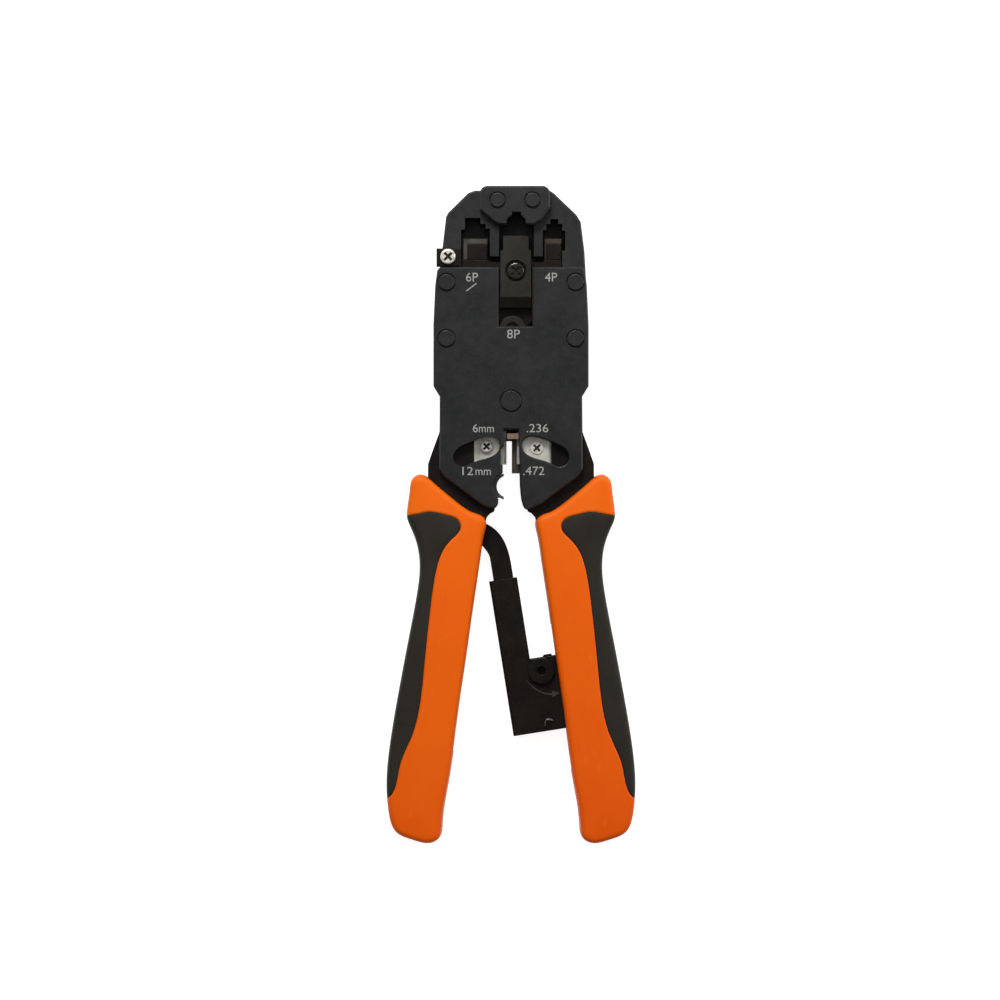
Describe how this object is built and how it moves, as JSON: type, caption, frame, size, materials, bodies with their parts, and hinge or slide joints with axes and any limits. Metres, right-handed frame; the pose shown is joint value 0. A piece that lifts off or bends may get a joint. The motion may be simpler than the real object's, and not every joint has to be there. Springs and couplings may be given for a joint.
{
  "type": "crimping tool",
  "caption": "Ratcheting hand crimper for modular plugs, with three plug nests, a stripping slot for flat and round cable, and two soft-covered handles.",
  "frame": {"origin": "centre of the bottom of the box, with the tool lying on its back", "axes": "+X to the right, +Y from the handles towards the head, +Z out of the front plate"},
  "size_m": [0.0812, 0.2151, 0.0212],
  "materials": {
    "black_steel": "satin black oxide",
    "blackened_parts": "satin black oxide, browner",
    "bright_screw": "bright nickel plate",
    "blade_steel": "ground",
    "dark_blade_steel": "dark hardened",
    "anvil_brown": "bronzed",
    "spring_steel": "drawn wire",
    "grip_orange": "smooth satin",
    "grip_black": "matte soft-touch"
  },
  "bodies": {
    "head_frame": {"front_plate": "black_steel", "back_plate": "black_steel", "die_frame": "black_steel", "nest_plate_8p": "black_steel", "nest_rivets": "black_steel", "frame_rivets": "black_steel", "left_pivot_rivet": "black_steel", "right_pivot_rivet": "black_steel", "centre_rivet": "black_steel", "locator_bracket": "blackened_parts", "locator_screw": "bright_screw", "cable_stop": "anvil_brown", "return_spring": "spring_steel"},
    "ram_slide": {"ram": "blackened_parts", "pusher_6p": "blackened_parts", "pusher_4p": "blackened_parts", "contact_block_6p": "dark_blade_steel", "contact_block_4p": "dark_blade_steel", "die_strip_8p": "blackened_parts", "die_strip_screw": "blackened_parts", "ram_roller_pin": "blackened_parts"},
    "roller": {"ram_roller": "blade_steel"},
    "left_lever": {"left_arm": "black_steel", "left_grip": "grip_orange", "left_grip_overmould": "grip_black", "left_blade": "blade_steel", "left_blade_screw": "bright_screw", "round_cable_blade": "dark_blade_steel", "rack_pin": "blade_steel"},
    "right_lever": {"right_arm": "black_steel", "right_grip": "grip_orange", "right_grip_overmould": "grip_black", "right_blade": "blade_steel", "right_blade_screw": "bright_screw", "stripping_anvil": "anvil_brown", "housing_pin": "blade_steel"},
    "housing": {"ratchet_housing": "blackened_parts", "pawl_spring_anchor": "blade_steel", "pawl_spring": "spring_steel"},
    "rack": {"ratchet_rack": "blackened_parts"},
    "pawl_and_knob": {"pawl": "blackened_parts", "release_knob": "blackened_parts"}
  },
  "joints": [
    {"name": "left_lever_hinge", "type": "hinge", "parent": "head_frame", "child": "left_lever", "pos_m": [-0.0211, 0.0576, 0.01], "axis": [0, 0, 1], "range_deg": [0, 5], "stiffness_Nm_per_rad": 4, "springref_deg": -1.15, "deforming": ["return_spring"]},
    {"name": "right_lever_hinge", "type": "hinge", "parent": "head_frame", "child": "right_lever", "pos_m": [0.0211, 0.0576, 0.01], "axis": [0, 0, -1], "range_deg": [0, 5], "deforming": ["return_spring"]},
    {"name": "ram_travel", "type": "slide", "parent": "head_frame", "child": "ram_slide", "axis": [0, 1, 0], "range_m": [0, 0.00182]},
    {"name": "roller_spin", "type": "hinge", "parent": "ram_slide", "child": "roller", "pos_m": [0.0005, 0.0608, 0.01], "axis": [0, 0, 1], "continuous": true},
    {"name": "housing_hinge", "type": "hinge", "parent": "right_lever", "child": "housing", "pos_m": [0.022, -0.062, 0.01], "axis": [0, 0, -1], "range_deg": [0, 9.77]},
    {"name": "rack_slide", "type": "slide", "parent": "housing", "child": "rack", "axis": [0.1564, -0.9877, 0], "range_m": [0, 0.00688]},
    {"name": "release_knob_turn", "type": "hinge", "parent": "housing", "child": "pawl_and_knob", "pos_m": [0.00997, -0.05127, 0.01], "axis": [0, 0, 1], "range_deg": [0, 20], "stiffness_Nm_per_rad": 0.02, "springref_deg": -11.46, "deforming": ["pawl_spring"]}
  ],
  "couplings": [
    {"joint": "right_lever_hinge", "follows": "left_lever_hinge", "ratio": 1},
    {"joint": "ram_travel", "follows": "left_lever_hinge", "m_per_rad": 0.0208},
    {"joint": "housing_hinge", "follows": "left_lever_hinge", "ratio": 1.952},
    {"joint": "rack_slide", "follows": "left_lever_hinge", "m_per_rad": 0.07875}
  ]
}
